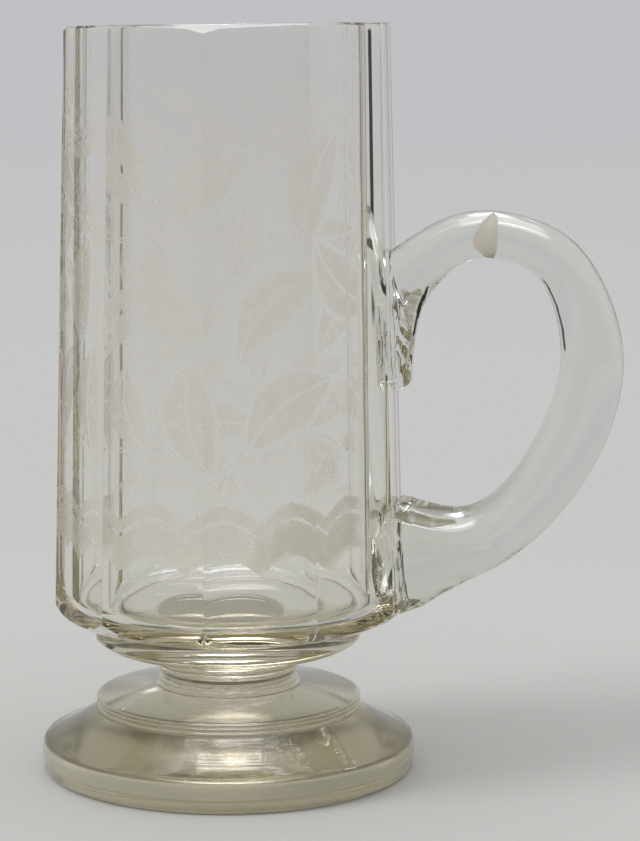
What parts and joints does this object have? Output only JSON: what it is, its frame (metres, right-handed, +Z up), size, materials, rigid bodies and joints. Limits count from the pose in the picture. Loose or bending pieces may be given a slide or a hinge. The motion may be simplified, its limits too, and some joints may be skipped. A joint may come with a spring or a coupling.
{
  "type": "glass tankard",
  "caption": "Footed clear-glass drinking tankard: tapered facet-cut bowl on a collar, short stem and stepped round foot, with one drawn loop handle.",
  "frame": {"origin": "centre of the foot's flat underside", "axes": "+Z up through the foot and the bowl, +X towards the handle"},
  "size_m": [0.1406, 0.0912, 0.18],
  "materials": {
    "foot_glass": "polished clear soda glass, a faint warm grey-green where it is thick",
    "stem_glass": "polished clear soda glass with fine turned lines",
    "bowl_glass": null,
    "handle_glass": "fire-polished drawn glass with one small chipped flake on the outside of the top bend"
  },
  "bodies": {
    "root": {"foot_base": "foot_glass", "foot_disc": "foot_glass", "stem": "stem_glass", "bowl_collar": "stem_glass", "bowl": "bowl_glass", "handle": "handle_glass"}
  },
  "joints": []
}
